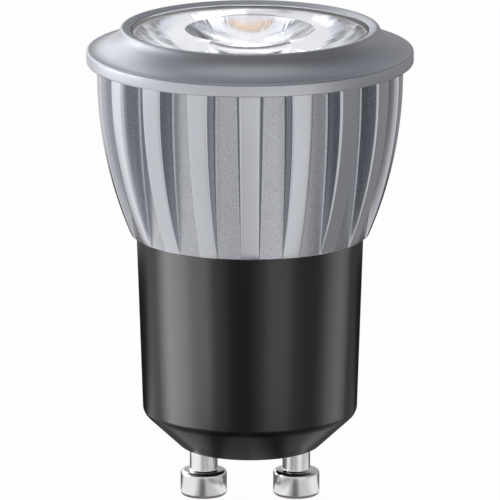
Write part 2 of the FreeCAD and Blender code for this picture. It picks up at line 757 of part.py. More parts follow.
def chip_resistors():
    """Column of surface-mounted resistors on the solder side."""
    half_w = RESISTOR_W / 2
    half_h = RESISTOR_H / 2
    pieces = []
    for number in range(RESISTOR_COUNT):
        z = driver_z + RESISTOR_UP + number * RESISTOR_PITCH
        pieces.append(block(
            RESISTOR_X - half_w, RESISTOR_X + half_w,
            driver_back_y - RESISTOR_T, driver_back_y,
            z - half_h, z + half_h,
        ))
    return Part.Compound(pieces)


def pin_lead(x):
    """Wire from a pin's socket up and back through the driver board."""
    socket_z = floor_z + PIN_RIVET_H - PIN_SOCKET_DEPTH
    return wire_along(
        WIRE_R, WIRE_BEND,
        Vector(x, 0, socket_z),
        Vector(x, 0, pin_lead_z),
        Vector(x, driver_back_y - WIRE_TAIL, pin_lead_z),
    )


def led_lead(x):
    """Wire from the driver board up through cap and seat to its pad on the LED board."""
    land_z = led_board_z + WIRE_R
    return wire_along(
        WIRE_R, WIRE_BEND,
        Vector(x, driver_back_y - WIRE_TAIL, led_lead_z),
        Vector(x, led_lead_y, led_lead_z),
        Vector(x, led_lead_y, land_z),
        Vector(x, led_lead_y + LED_LEAD_REACH, land_z),
    )


NODES = {
    "heat_sink": heat_sink(),
    "front_ring": front_ring(),
    "lens": lens(),
    "thermal_pad": led_layer(led_board_r - PAD_MARGIN, seat_z, pad_z),
    "led_board": led_layer(led_board_r, pad_z, led_board_z),
    "led_phosphor": rod(LED_R, 0, 0, led_board_z, led_board_z + LED_T),
    "led_dam": led_dam(),
    "led_screws": Part.Compound([led_screw(x, y) for x, y in screw_spots]),
    "base_housing": base_housing(),
    "contact_pin_1": contact_pin(-PIN_PITCH / 2),
    "contact_pin_2": contact_pin(PIN_PITCH / 2),
    "insulator_cap": insulator_cap(),
    "driver_board": driver_board(),
    "input_capacitor": input_capacitor(),
    "output_capacitor": output_capacitor(),
    "inductor_core": inductor_core(),
    "inductor_winding": inductor_winding(),
    "film_capacitor": film_capacitor(),
    "fuse_resistor": fuse_resistor(),
    "bridge_rectifier": bridge_rectifier(),
    "driver_chip": driver_chip(),
    "freewheel_diode": freewheel_diode(),
    "chip_resistors": chip_resistors(),
    "pin_lead_1": pin_lead(-PIN_PITCH / 2),
    "pin_lead_2": pin_lead(PIN_PITCH / 2),
    "led_lead_positive": led_lead(led_lead_x),
    "led_lead_negative": led_lead(-led_lead_x),
}

for name, shape in NODES.items():
    shape.exportStep("parts/" + name + ".step")
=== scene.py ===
import math

import bmesh
import bpy
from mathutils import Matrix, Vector


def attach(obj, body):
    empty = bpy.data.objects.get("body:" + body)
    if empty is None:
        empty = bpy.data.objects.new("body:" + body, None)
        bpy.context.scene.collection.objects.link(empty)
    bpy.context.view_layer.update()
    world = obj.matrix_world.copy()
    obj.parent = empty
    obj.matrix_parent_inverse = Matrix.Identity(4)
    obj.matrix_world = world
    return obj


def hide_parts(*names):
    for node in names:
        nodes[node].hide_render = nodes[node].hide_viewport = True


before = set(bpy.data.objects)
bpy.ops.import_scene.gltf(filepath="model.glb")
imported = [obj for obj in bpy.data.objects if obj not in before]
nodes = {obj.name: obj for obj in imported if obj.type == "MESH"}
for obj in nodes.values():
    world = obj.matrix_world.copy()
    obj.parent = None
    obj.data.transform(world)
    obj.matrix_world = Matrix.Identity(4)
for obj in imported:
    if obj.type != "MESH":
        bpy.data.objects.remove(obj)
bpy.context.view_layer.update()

# Contact pins: two turned brass mushrooms with bright nickel plate. Each is pushed through the floor of
# the base and spread over inside like a rivet, round the end of its lead.
MM = 0.001
PIN_X = 5
SMALL_STEPS = 96


def take_up(*pieces):
    """Select these pieces and nothing else; the last one is the active one."""
    bpy.ops.object.select_all(action="DESELECT")
    for piece in pieces:
        piece.select_set(True)
        bpy.context.view_layer.objects.active = piece


def soften(piece):
    """Shade a piece smooth, apart from its sharp edges."""
    take_up(piece)
    bpy.ops.object.shade_smooth_by_angle(angle=math.radians(32))


def draw_outline(name, outline):
    """Draw (radius, height) points in mm beside the axis, and stay in edit mode.

    A third number rounds that corner, and a fourth bows the stroke that leads to it, to the right.
    """
    bpy.ops.object.select_all(action="DESELECT")
    bpy.ops.mesh.primitive_plane_add(size=MM)
    piece = bpy.context.object
    piece.name = name
    piece.data.name = name
    bpy.ops.object.mode_set(mode="EDIT")
    bpy.ops.mesh.select_mode(type="VERT")
    bpy.ops.mesh.merge(type="CENTER")
    bpy.ops.transform.translate(value=(outline[0][0] * MM, 0, outline[0][1] * MM))
    for here, there in zip(outline, outline[1:]):
        run, rise = there[0] - here[0], there[1] - here[1]
        bow = there[3] if len(there) > 3 else 0
        if not bow:
            bpy.ops.mesh.extrude_region_move(TRANSFORM_OT_translate={"value": (run * MM, 0, rise * MM)})
            continue
        chord = math.hypot(run, rise)
        sweep = 4 * math.atan(2 * bow / chord)
        back = 1 / (2 * math.tan(sweep / 2))
        centre = ((here[0] + run / 2 - back * rise) * MM, 0, (here[1] + rise / 2 + back * run) * MM)
        steps = max(4, round(abs(math.degrees(sweep)) / 3))
        bpy.ops.mesh.spin(steps=steps, angle=-sweep, center=centre, axis=(0, -1, 0))
    for corner in outline:
        if len(corner) < 3 or not corner[2]:
            continue
        drawn = bmesh.from_edit_mesh(piece.data)
        for spot in drawn.verts:
            spot.select = math.hypot(spot.co.x / MM - corner[0], spot.co.z / MM - corner[1]) < 1e-4
        drawn.select_flush_mode()
        bmesh.update_edit_mesh(piece.data)
        bpy.ops.mesh.bevel(offset=corner[2] * MM, segments=6, affect="VERTICES")
    return piece


def turn_on_lathe(name, outline, steps=160):
    """Spin a drawn outline all the way round the lamp's axis."""
    piece = draw_outline(name, outline)
    bpy.ops.mesh.select_all(action="SELECT")
    bpy.ops.mesh.spin(steps=steps, angle=2 * math.pi, center=(0, 0, 0), axis=(0, 0, 1))
    bpy.ops.mesh.select_all(action="SELECT")
    bpy.ops.mesh.remove_doubles(threshold=1e-6)
    bpy.ops.mesh.normals_make_consistent(inside=False)
    bpy.ops.object.mode_set(mode="OBJECT")
    soften(piece)
    return piece


def shift(piece, x, y, z):
    """Move a piece's mesh by millimetres, and leave its object at the origin."""
    take_up(piece)
    bpy.ops.object.mode_set(mode="EDIT")
    bpy.ops.mesh.select_all(action="SELECT")
    bpy.ops.transform.translate(value=(x * MM, y * MM, z * MM))
    bpy.ops.object.mode_set(mode="OBJECT")


class Signal:
    """A value on its way through a finish; sums written with it add Math nodes."""

    def __init__(self, finish, socket):
        self.finish = finish
        self.socket = socket

    def tap(self, name):
        return Signal(self.finish, self.socket.node.outputs[name])

    def maths(self, operation, first, second=0.0):
        return self.finish.add("ShaderNodeMath", {"operation": operation}, {0: first, 1: second})

    def __add__(self, other):
        return self.maths("ADD", self, other)

    def __radd__(self, other):
        return self.maths("ADD", other, self)

    def __sub__(self, other):
        return self.maths("SUBTRACT", self, other)

    def __rsub__(self, other):
        return self.maths("SUBTRACT", other, self)

    def __mul__(self, other):
        return self.maths("MULTIPLY", self, other)

    def __rmul__(self, other):
        return self.maths("MULTIPLY", other, self)

    def __pow__(self, other):
        return self.maths("POWER", self, other)

    def __abs__(self):
        return self.maths("ABSOLUTE", self)

    def __gt__(self, other):
        return self.maths("GREATER_THAN", self, other)

    def __lt__(self, other):
        return self.maths("LESS_THAN", self, other)


class Finish:
    """Nodes of one material or of the room."""

    def __init__(self, owner):
        owner.use_nodes = True
        self.owner = owner
        self.tree = owner.node_tree
        self.tree.nodes.clear()

    def add(self, kind, settings, inputs, out=0):
        node = self.tree.nodes.new(kind)
        for name, value in settings.items():
            if name == "stops":
                ramp = node.color_ramp.elements
                while len(ramp) < len(value):
                    ramp.new(1.0)
                for stop, (position, shade) in zip(ramp, value):
                    stop.position = position
                    stop.color = shade
            else:
                setattr(node, name, value)
        for name, value in inputs.items():
            if isinstance(value, Signal):
                self.tree.links.new(value.socket, node.inputs[name])
            else:
                node.inputs[name].default_value = value
        return Signal(self, node.outputs[out]) if node.outputs else None

    def place(self):
        return self.add("ShaderNodeTexCoord", {}, {}, "Object")

    def spot(self):
        return self.add("ShaderNodeSeparateXYZ", {}, {"Vector": self.place()})

    def grain(self, spot, scale, detail=2.0):
        return self.add("ShaderNodeTexNoise", {}, {"Vector": spot, "Scale": scale, "Detail": detail}, "Fac")

    def lines(self, run):
        return self.add("ShaderNodeTexNoise", {"noise_dimensions": "1D"}, {"W": run, "Scale": 1.0}, "Fac")

    def blend(self, share, first, second):
        return self.add("ShaderNodeMix", {"data_type": "RGBA"}, {0: share, 6: first, 7: second}, 2)

    def ripple(self, height, strength, distance):
        return self.add("ShaderNodeBump", {}, {"Height": height, "Strength": strength, "Distance": distance})

    def skin(self, inputs):
        shader = self.add("ShaderNodeBsdfPrincipled", {}, inputs)
        self.add("ShaderNodeOutputMaterial", {}, {"Surface": shader})
        return self.owner


def new_finish(name):
    return Finish(bpy.data.materials.new(name))


def radius_at(x, y):
    """Distance from the axis that x and y are measured from."""
    return (x * x + y * y) ** 0.5


def wear(piece, material):
    """Give a piece or a CAD node its finish."""
    if piece.material_slots:
        piece.material_slots[0].material = material
    else:
        piece.data.materials.append(material)


def settle(piece, slot, *replaced):
    """Fix a finished piece to the lamp, in place of its CAD nodes."""
    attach(piece, "root")
    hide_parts(*replaced)


pin_outline = [
    (0, 0), (2.5, 0, 0.45), (2.5, 2.8, 0.4), (1.5, 2.8, 0.12), (1.5, 5.7), (1.1, 5.7), (1.1, 7.5), (1.9, 7.5),
    (1.1, 8.3), (0.45, 8.3), (0.45, 6.3), (0, 6.3),
]
left_pin = turn_on_lathe("pin_left", pin_outline, SMALL_STEPS)
take_up(left_pin)
bpy.ops.object.duplicate()
right_pin = bpy.context.object
right_pin.name = "pin_right"
shift(left_pin, -PIN_X, 0, 0)
shift(right_pin, PIN_X, 0, 0)

nickel = new_finish("bright_nickel")
spot = nickel.spot()
turning = radius_at(abs(spot.tap("X")) - PIN_X * MM, spot.tap("Y")) + spot.tap("Z")
tool_marks = nickel.lines(turning * 9000.0)
haze = nickel.grain(nickel.place(), 700.0)
wear(left_pin, nickel.skin({
    "Base Color": nickel.blend(haze, (0.74, 0.735, 0.725, 1), (0.88, 0.875, 0.865, 1)),
    "Metallic": 1.0,
    "Roughness": 0.10 + 0.14 * haze,
    "Normal": nickel.ripple(tool_marks, 0.25, 0.00001),
}))
wear(right_pin, nickel.owner)
settle(left_pin, "pin_nickel", "contact_pin_1")
settle(right_pin, "pin_nickel", "contact_pin_2")

# Base: one black moulding of heat-proof plastic with a cone foot and a slightly drafted wall. Inside it has two
# guides for the driver board, and its spigot snaps into the heat sink with four lugs.
BORE_R, BORE_Z = 10.88, (9, 34)
GUIDE_X, GUIDE_Y, GUIDE_Z = (7.843, 12), (-4.95, -2.05), (9.8, 33.3)
SLOT_X, SLOT_Y, SLOT_Z = (-9.193, 9.193), (-4.05, -2.95), (10.6, 33.7)
PIN_HOLE_R, PIN_HOLE_Z = 1.15, (5, 8)
LUG_COUNT, LUG_SWEEP = 4, math.radians(40)
base = turn_on_lathe("base", [
    (0, 5.7), (7.5, 5.7, 0.25), (11.53, 9.5, 0.5), (12.18, 29.05, 0.12), (11.7, 29.05), (11.7, 34.7),
    (11.1, 34.7), (11.1, 33.7), (10.7, 33.7), (10.23, 10.06), (7.514, 7.5), (0, 7.5),
])


def block(*sides):
    """Block between the lowest and highest x, y and z in mm, as a tool."""
    bpy.ops.object.select_all(action="DESELECT")
    bpy.ops.mesh.primitive_cube_add(size=MM)
    bpy.ops.object.mode_set(mode="EDIT")
    bpy.ops.transform.resize(value=[high - low for low, high in sides])
    bpy.ops.transform.translate(value=[(low + high) / 2 * MM for low, high in sides])
    bpy.ops.object.mode_set(mode="OBJECT")
    return bpy.context.object


def combine(piece, tool, operation):
    """Join, cut or trim a piece with a tool, which is used up."""
    take_up(piece)
    change = piece.modifiers.new("shape", "BOOLEAN")
    change.operation = operation
    change.solver = "EXACT"
    change.object = tool
    bpy.ops.object.modifier_apply(modifier=change.name)
    bpy.data.objects.remove(tool)


def drill(radius, reach, *spots):
    """Round bars in mm from a lowest to a highest z, one at each spot, as one tool."""
    low, high = reach
    bars = []
    for x, y in spots:
        bpy.ops.mesh.primitive_cylinder_add(
            vertices=32, radius=radius * MM, depth=(high - low) * MM,
            location=(x * MM, y * MM, (low + high) / 2 * MM))
        bpy.ops.object.transform_apply()
        bars.append(bpy.context.object)
    take_up(*bars)
    bpy.ops.object.join()
    return bpy.context.object


def copy_round(count):
    """Copy all that is being drawn to this many places round the axis."""
    bpy.ops.mesh.select_all(action="SELECT")
    last_turn = 2 * math.pi * (count - 1) / count
    bpy.ops.mesh.spin(steps=count - 1, angle=last_turn, dupli=True, center=(0, 0, 0), axis=(0, 0, 1))


lug_outline = [(11.2, 31.6), (11.7, 31.6), (12.05, 31.95), (12.05, 32.8), (11.2, 32.8), (11.2, 31.6)]
lugs = draw_outline("lugs", lug_outline)
bpy.ops.mesh.select_all(action="SELECT")
bpy.ops.mesh.remove_doubles(threshold=1e-6)
bpy.ops.mesh.edge_face_add()
bpy.ops.mesh.spin(steps=10, angle=-LUG_SWEEP, center=(0, 0, 0), axis=(0, 0, 1))
bpy.ops.mesh.select_all(action="SELECT")
bpy.ops.mesh.normals_make_consistent(inside=False)
copy_round(LUG_COUNT)
bpy.ops.object.mode_set(mode="OBJECT")
combine(base, lugs, "UNION")
for side_x in ((-GUIDE_X[1], -GUIDE_X[0]), GUIDE_X):
    guide = block(side_x, GUIDE_Y, GUIDE_Z)
    combine(guide, drill(BORE_R, BORE_Z, (0, 0)), "INTERSECT")
    combine(base, guide, "UNION")
combine(base, block(SLOT_X, SLOT_Y, SLOT_Z), "DIFFERENCE")
combine(base, drill(PIN_HOLE_R, PIN_HOLE_Z, (-PIN_X, 0), (PIN_X, 0)), "DIFFERENCE")
soften(base)

plastic = new_finish("black_moulding")
where = plastic.place()
spark = plastic.grain(where, 5200.0)
flow = plastic.grain(where, 160.0)
wear(base, plastic.skin({
    "Base Color": plastic.blend(flow, (0.0012, 0.0012, 0.0013, 1), (0.0022, 0.0022, 0.0023, 1)),
    "Roughness": 0.195 + 0.05 * spark + 0.03 * flow,
    "Specular IOR Level": 0.13,
    "Normal": plastic.ripple(spark, 0.06, 0.00002),
}))
settle(base, "black_plastic", "base_housing")

# Driver board: glass-fibre sheet with copper tracks under a green mask. It slides down the guides of the base
# and carries the parts that turn mains current into what the LED needs.
fibre = new_finish("masked_fibre_board")
where = fibre.place()
weave = fibre.grain(where, 2600.0)
squares = fibre.add(
    "ShaderNodeTexVoronoi", {"distance": "CHEBYCHEV"}, {"Vector": where, "Scale": 420.0}, "Distance")
tracks = squares < 0.32
wear(nodes["driver_board"], fibre.skin({
    "Base Color": fibre.blend(tracks, (0.035, 0.17, 0.075, 1), (0.07, 0.27, 0.13, 1)),
    "Roughness": 0.32 + 0.12 * weave,
    "Coat Weight": 0.3,
    "Normal": fibre.ripple(tracks + weave * 0.3, 0.2, 0.00003),
}))

# Capacitor cans: aluminium cans in a dark shrink sleeve, one lying along the board and one standing on it.
# A pale stripe down the sleeve marks one lead. The tinned leads of the first show, and the top of the second.
LYING_CAN_FOOT_Z, STANDING_CAN_TOP_Y = 16.8, 3.99
SLEEVE, STRIPE = (0.012, 0.014, 0.05, 1), (0.42, 0.43, 0.46, 1)
for name, stripe_x, stripe_half, metal in (
        ("input_capacitor", -4.05, 0.8, (0.66, 0.65, 0.63, 1)),
        ("output_capacitor", 3.5, 0.6, (0.66, 0.66, 0.67, 1))):
    sleeve = new_finish("shrink_sleeve_" + name)
    spot = sleeve.spot()
    wrinkle = sleeve.grain(sleeve.place(), 900.0)
    if name == "input_capacitor":
        bare = spot.tap("Z") < LYING_CAN_FOOT_Z * MM
    else:
        bare = spot.tap("Y") > STANDING_CAN_TOP_Y * MM
    stripe = abs(spot.tap("X") - stripe_x * MM) < stripe_half * MM
    wear(nodes[name], sleeve.skin({
        "Base Color": sleeve.blend(bare, sleeve.blend(stripe, SLEEVE, STRIPE), metal),
        "Metallic": bare,
        "Roughness": 0.24 + 0.12 * wrinkle,
        "Normal": sleeve.ripple(wrinkle, 0.15, 0.00004),
    }))

# Inductor: a sintered ferrite drum, wound with enamelled copper wire between its two cheeks.
# It is glued to the board by one cheek.
ferrite = new_finish("sintered_ferrite")
pores = ferrite.grain(ferrite.place(), 3200.0, 4.0)
wear(nodes["inductor_core"], ferrite.skin({
    "Base Color": ferrite.blend(pores, (0.045, 0.045, 0.048, 1), (0.12, 0.12, 0.122, 1)),
    "Roughness": 0.55 + 0.2 * pores,
    "Normal": ferrite.ripple(pores, 0.3, 0.00003),
}))
copper = new_finish("enamelled_copper")
turns = copper.add("ShaderNodeTexWave", {"bands_direction": "Y"}, {
    "Vector": copper.place(), "Scale": 640.0, "Distortion": 0.4, "Detail": 1.0}, "Fac")
wear(nodes["inductor_winding"], copper.skin({
    "Base Color": copper.blend(turns, (0.30, 0.11, 0.04, 1), (0.74, 0.36, 0.16, 1)),
    "Metallic": 1.0,
    "Roughness": 0.34 - 0.1 * turns,
    "Coat Weight": 0.6,
    "Normal": copper.ripple(turns, 0.7, 0.00008),
}))

# Film capacitor: a wound film in a red moulded box, potted with resin.
# It is soldered flat against the foot of the board.
potted = new_finish("red_moulded_box")
dimple = potted.grain(potted.place(), 2400.0)
wear(nodes["film_capacitor"], potted.skin({
    "Base Color": potted.blend(dimple, (0.42, 0.035, 0.025, 1), (0.58, 0.06, 0.04, 1)),
    "Roughness": 0.25 + 0.15 * dimple,
    "Normal": potted.ripple(dimple, 0.12, 0.00003),
}))

# Fuse resistor: a ceramic rod with end caps under blue-grey lacquer, with colour bands. Its tinned leads are
# bent down and soldered through the board.
FUSE_X, FUSE_HALF, FUSE_LEAD_Y = -2.6, 2.85, -3.0
lacquer = new_finish("resistor_lacquer")
spot = lacquer.spot()
drip = lacquer.grain(lacquer.place(), 1400.0)
from_middle = abs(spot.tap("X") - FUSE_X * MM)
bands = (abs(from_middle - 0.9 * MM) < 0.22 * MM) + (abs(from_middle - 2.2 * MM) < 0.3 * MM)
bare = (from_middle > FUSE_HALF * MM) + (spot.tap("Y") < FUSE_LEAD_Y * MM)
coat = lacquer.blend(bands, (0.20, 0.36, 0.42, 1), (0.30, 0.10, 0.03, 1))
wear(nodes["fuse_resistor"], lacquer.skin({
    "Base Color": lacquer.blend(bare, coat, (0.66, 0.65, 0.62, 1)),
    "Metallic": bare,
    "Roughness": 0.30 + 0.2 * drip,
    "Normal": lacquer.ripple(drip, 0.2, 0.00005),
}))

# Chips: rectifier, control chip, diode and resistors, moulded in black resin with tinned legs, and soldered
# to the back of the board.
for name, axis, middle, half_body in (
        ("bridge_rectifier", "Z", 18.6, 1.95), ("driver_chip", "Z", 25.1, 1.95),
        ("freewheel_diode", "Z", 21.0, 2.1), ("chip_resistors", "X", -5.4, 0.68)):
    resin = new_finish("resin_" + name)
    spot = resin.spot()
    grit = resin.grain(resin.place(), 4200.0)
    legs = abs(spot.tap(axis) - middle * MM) > half_body * MM
    body = resin.blend(grit, (0.014, 0.014, 0.015, 1), (0.034, 0.034, 0.035, 1))
    wear(nodes[name], resin.skin({
        "Base Color": resin.blend(legs, body, (0.70, 0.69, 0.67, 1)),
        "Metallic": legs,
        "Roughness": 0.42 + 0.2 * grit,
        "Normal": resin.ripple(grit, 0.2, 0.00002),
    }))

# Leads: stranded copper in a thin plastic skin, white from the pins to the board, red and black up to the LED.
# Each goes through a hole in the board, and is stripped there and soldered.
for names, shade in (
        (("pin_lead_1", "pin_lead_2"), (0.80, 0.80, 0.77, 1)), (("led_lead_positive",), (0.52, 0.03, 0.025, 1)),
        (("led_lead_negative",), (0.02, 0.02, 0.021, 1))):
    insulation = new_finish("insulation_" + names[0])
    rub = insulation.grain(insulation.place(), 1800.0)
    dulled = [part * 0.8 for part in shade[:3]] + [1]
    skin = insulation.skin({
        "Base Color": insulation.blend(rub, dulled, shade),
        "Roughness": 0.35 + 0.2 * rub,
        "Normal": insulation.ripple(rub, 0.1, 0.00003),
    })
    for name in names:
        wear(nodes[name], skin)

# Insulating cap: a white moulded disc that lies on a step in the spigot, between the mains board and the metal.
# It has two holes for the LED's leads.
cap = new_finish("white_moulding")
spark = cap.grain(cap.place(), 3000.0)
wear(nodes["insulator_cap"], cap.skin({
    "Base Color": cap.blend(spark, (0.74, 0.74, 0.71, 1), (0.82, 0.82, 0.80, 1)),
    "Roughness": 0.42 + 0.16 * spark,
    "Normal": cap.ripple(spark, 0.12, 0.00003),
}))

# Heat sink: a die-cast aluminium bell, bead blasted and silver lacquered, snapped over the spigot of the base.
# Its eighteen fins stand between flutes that start shallow at the foot and deepen towards the ring, and a cup
# inside it holds the LED and the lens.
FIN_COUNT = 18
SINK_FOOT, SINK_HEAD = 29.05, 47.82
CREST_Z, CREST_R = 47.0, 16.45
BELL_LEAN, BELL_RISE = 3.7, 17.95
BELL_R = (BELL_LEAN ** 2 + BELL_RISE ** 2) / (2 * BELL_LEAN)
FOOT_ROUND = 0.2
RUNOUT, SWELL, SWELL_POWER = 0.08, 2.05, 2.5
TIP_WIDTH, TIP_GAIN = 1.9, 0.5
ROOT_WIDTH, ROOT_GAIN = 2.0, 0.58
ROUND_LEAST, ROUND_GAIN = 0.02, 0.13
FLOOR_SHARE = 0.85
CUP_R, CUP_FLOOR = 13.36, 37.9
SEAT_Z = (34, 39)
SCREW_R, SCREW_Y = 1.0, 8.6
LEAD_HOLE_R, LEAD_X, LEAD_Y = 0.7, 7.293, -1.35
TIP_STEPS, ROUND_STEPS, FLANK_STEPS, FLOOR_STEPS, BELL_STEPS = 3, 6, 4, 4, 26


def arc_about(centre, first, last, radius, steps):
    """Points on the short arc about a centre, after its first point."""
    points = []
    for step in range(1, steps + 1):
        share = step / steps
        lean = (first - centre).normalized().slerp((last - centre).normalized(), share)
        points.append(centre + lean * radius)
    return points


def half_fin(z):
    """Half of the bell's cross-section over one fin, from the fin's middle to the middle of the flute."""
    share = (z - SINK_FOOT) / (SINK_HEAD - SINK_FOOT)
    depth = RUNOUT + SWELL * (1 - (1 - share) ** SWELL_POWER)
    tip_half = (TIP_WIDTH + TIP_GAIN * share) / 2
    root_half = (ROOT_WIDTH + ROOT_GAIN * share) / 2
    edge = fillet = ROUND_LEAST + ROUND_GAIN * depth
    rise = max(0, FOOT_ROUND - (z - SINK_FOOT))
    undercut = FOOT_ROUND - math.sqrt(FOOT_ROUND ** 2 - rise ** 2)
    tip_r = CREST_R - BELL_R + math.sqrt(BELL_R ** 2 - (z - CREST_Z) ** 2) - undercut
    floor_r = tip_r - depth
    crest = Vector((math.sqrt(tip_r ** 2 - tip_half ** 2), tip_half))
    root = Vector((math.sqrt(floor_r ** 2 - root_half ** 2), root_half))
    slope = (root - crest).normalized()
    inward = Vector((-slope.y, slope.x))

    def round_centre(start, distance):
        run = start.dot(slope)
        return start + slope * (-run - math.sqrt(run ** 2 - start.length_squared + distance ** 2))

    edge_centre = round_centre(crest + inward * edge, tip_r - edge)
    fillet_centre = round_centre(crest - inward * fillet, floor_r + fillet)
    tip_end = edge_centre * (tip_r / (tip_r - edge))
    wall_head = edge_centre - inward * edge
    wall_foot = fillet_centre + inward * fillet
    floor_end = fillet_centre * (floor_r / (floor_r + fillet))
    half_pitch = math.pi / FIN_COUNT
    valley = Vector((floor_r * math.cos(half_pitch), floor_r * math.sin(half_pitch)))
    middle = Vector((0, 0))
    points = [Vector((tip_r, 0))]
    points += arc_about(middle, points[0], tip_end, tip_r, TIP_STEPS)
    points += arc_about(edge_centre, tip_end, wall_head, edge, ROUND_STEPS)
    points += [wall_head.lerp(wall_foot, step / FLANK_STEPS) for step in range(1, FLANK_STEPS + 1)]
    points += arc_about(fillet_centre, wall_foot, floor_end, fillet, ROUND_STEPS)
    points += arc_about(middle, floor_end, valley, floor_r, FLOOR_STEPS)
    return points


heights = [SINK_FOOT + FOOT_ROUND * (1 - math.cos(math.radians(angle))) for angle in (0, 20, 40, 60, 90)]
plain_height = SINK_HEAD - SINK_FOOT - FOOT_ROUND
heights += [SINK_FOOT + FOOT_ROUND + plain_height * step / BELL_STEPS for step in range(1, BELL_STEPS + 1)]
sections = []
for z in heights:
    half = half_fin(z)
    sections.append([(p.x, -p.y, z) for p in reversed(half[1:])] + [(p.x, p.y, z) for p in half])
columns = len(sections[0])
bpy.ops.object.select_all(action="DESELECT")
bpy.ops.mesh.primitive_grid_add(x_subdivisions=columns - 1, y_subdivisions=len(heights) - 1, size=MM)
sink = bpy.context.object
sink.name = "heat_sink_bell"
for number, corner in enumerate(sink.data.vertices):
    x, y, z = sections[number // columns][number % columns]
    corner.co = (y * MM, -x * MM, z * MM)
bpy.ops.object.mode_set(mode="EDIT")
copy_round(FIN_COUNT)
bpy.ops.mesh.select_all(action="SELECT")
bpy.ops.mesh.remove_doubles(threshold=1e-6)
bpy.ops.object.mode_set(mode="OBJECT")


def line_rim(level, rings):
    """Extrude the open rim at a height in from ring to ring of (radius, height), and close it on the axis."""
    bpy.ops.object.mode_set(mode="EDIT")
    bpy.ops.mesh.select_mode(type="EDGE")
    cast = bmesh.from_edit_mesh(sink.data)
    for edge in cast.edges:
        edge.select = edge.is_boundary and all(abs(end.co.z / MM - level) < 1e-3 for end in edge.verts)
    cast.select_flush_mode()
    bmesh.update_edit_mesh(sink.data)
    for radius, height in rings:
        bpy.ops.mesh.extrude_region_move()
        cast = bmesh.from_edit_mesh(sink.data)
        for corner in cast.verts:
            if corner.select:
                outward = corner.co.xy.normalized() * radius * MM
                corner.co = (outward.x, outward.y, height * MM)
        bmesh.update_edit_mesh(sink.data)
    bpy.ops.mesh.extrude_region_move()
    bpy.ops.mesh.merge(type="CENTER")
    bpy.ops.object.mode_set(mode="OBJECT")


line_rim(SINK_HEAD, [
    (13.35, SINK_HEAD), (13.35, 49.32), (13.27, 49.4), (12.38, 49.4), (12.3, 49.32), (12.0, 38.0)])
line_rim(SINK_FOOT, [
    (11.75, SINK_FOOT), (11.75, 31.55), (12.1, 31.9), (12.1, 32.85), (11.75, 32.85), (11.75, 35.0)])
bpy.ops.object.mode_set(mode="EDIT")
bpy.ops.mesh.select_all(action="SELECT")
bpy.ops.mesh.normals_make_consistent(inside=False)
bpy.ops.object.mode_set(mode="OBJECT")
combine(sink, drill(SCREW_R, SEAT_Z, (0, SCREW_Y), (0, -SCREW_Y)), "DIFFERENCE")
combine(sink, drill(LEAD_HOLE_R, SEAT_Z, (LEAD_X, LEAD_Y), (-LEAD_X, LEAD_Y)), "DIFFERENCE")
soften(sink)

cast_silver = new_finish("blasted_cast_silver")
where = cast_silver.place()
blast = cast_silver.grain(where, 6500.0, 3.0)
cloud = cast_silver.grain(where, 220.0)
spot = cast_silver.spot()
height = spot.tap("Z")
from_axis = radius_at(spot.tap("X"), spot.tap("Y"))
from_crest = height - CREST_Z * MM
fin_face = ((BELL_R * MM) ** 2 - from_crest * from_crest) ** 0.5 + (CREST_R - BELL_R) * MM
below_head = (SINK_HEAD * MM - height) * (1 / ((SINK_HEAD - SINK_FOOT) * MM))
flute_depth = RUNOUT * MM + SWELL * MM * (1 - below_head ** SWELL_POWER)
in_flute = (fin_face - from_axis > FLOOR_SHARE * flute_depth) * (height < SINK_HEAD * MM)
in_cup = (from_axis < CUP_R * MM) * (height > CUP_FLOOR * MM)
smooth_silver = cast_silver.blend(blast, (0.455, 0.465, 0.505, 1), (0.515, 0.525, 0.565, 1))
# On the flute floors the silver has a coarser grain and is darker on average: that darkening is painted shade in
# the recesses.
coarse_and_shaded_silver = cast_silver.blend(blast, (0.20, 0.21, 0.235, 1), (0.60, 0.61, 0.645, 1))
silver = cast_silver.blend(in_flute, smooth_silver, coarse_and_shaded_silver)
wear(sink, cast_silver.skin({
    "Base Color": cast_silver.blend(in_cup, silver, (0.93, 0.93, 0.94, 1)),
    "Metallic": 1 - in_cup,
    "Roughness": 0.21 + 0.07 * blast + 0.04 * cloud + 0.07 * in_flute,
    "Normal": cast_silver.ripple(blast * (0.12 + 0.88 * in_flute), 0.22, 0.00003),
}))
settle(sink, "cast_aluminium", "heat_sink")

# LED board and thermal pad: an aluminium disc with a white mask, held down by two screws. The soft grey pad
# under it carries the heat into the seat of the heat sink.
MASK_Z = 39.1
masked = new_finish("white_masked_disc")
mottle = masked.grain(masked.place(), 1500.0)
bare_metal = masked.spot().tap("Z") < MASK_Z * MM
wear(nodes["led_board"], masked.skin({
    "Base Color": masked.blend(bare_metal, (0.80, 0.80, 0.78, 1), (0.62, 0.62, 0.63, 1)),
    "Metallic": bare_metal,
    "Roughness": 0.30 + 0.15 * mottle,
    "Normal": masked.ripple(mottle, 0.1, 0.00003),
}))
pad = new_finish("soft_grey_pad")
filler = pad.grain(pad.place(), 2800.0, 4.0)
wear(nodes["thermal_pad"], pad.skin({
    "Base Color": pad.blend(filler, (0.34, 0.36, 0.39, 1), (0.52, 0.54, 0.57, 1)),
    "Roughness": 0.75 + 0.15 * filler,
    "Normal": pad.ripple(filler, 0.3, 0.00004),
}))

# Screws: zinc-plated steel with pan heads and a cross recess, one node for the two.
# They hold the LED board down and are turned into the seat of the heat sink.
zinc = new_finish("zinc_plate")
scuff = zinc.grain(zinc.place(), 2000.0)
wear(nodes["led_screws"], zinc.skin({
    "Base Color": zinc.blend(scuff, (0.56, 0.56, 0.57, 1), (0.72, 0.72, 0.72, 1)),
    "Metallic": 1.0,
    "Roughness": 0.22 + 0.2 * scuff,
    "Normal": zinc.ripple(scuff, 0.15, 0.00003),
}))
